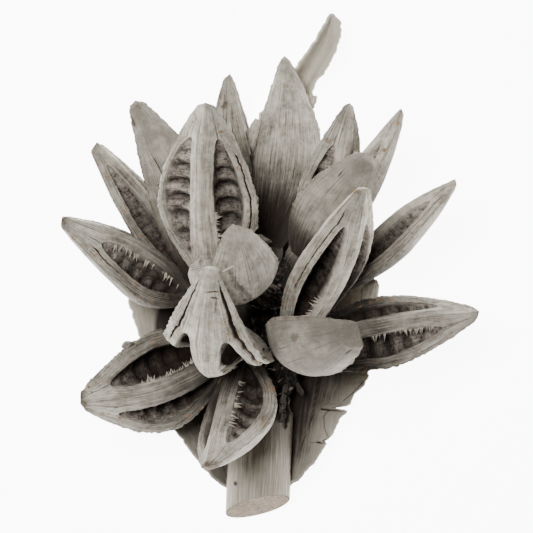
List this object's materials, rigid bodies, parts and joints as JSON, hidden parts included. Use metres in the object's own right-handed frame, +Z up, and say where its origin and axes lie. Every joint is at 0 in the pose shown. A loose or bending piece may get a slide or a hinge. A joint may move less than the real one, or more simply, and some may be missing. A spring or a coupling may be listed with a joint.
{
  "type": "star pod",
  "caption": "Dried whitewashed seed head lying on its boat-shaped bract: woody capsules burst open into star-like valves with ribbed hollows, on a fibrous core with a cut stem.",
  "frame": {"origin": "centre of the seed head in plan, on the surface that its bract rests on", "axes": "+Z up, +Y from the cut stem to the bract's tip, +X to the right seen from above with the tip away"},
  "size_m": [0.2265, 0.2834, 0.146],
  "materials": {
    "valve_wood": "dry whitewashed wood with brown hollows",
    "stem_wood": "dry whitewashed striated stem, pale porous cut end",
    "core_fibre": "dark dry fibre",
    "bract_husk": "grey-brown fibrous husk with torn edges"
  },
  "bodies": {
    "root": {"pod_top": "valve_wood", "pod_upper_left": "valve_wood", "pod_left": "valve_wood", "pod_upper_right": "valve_wood", "pod_right": "valve_wood", "pod_lower_right": "valve_wood", "pod_front": "valve_wood", "core": "core_fibre", "stem": "stem_wood", "bract": "bract_husk"}
  },
  "joints": []
}
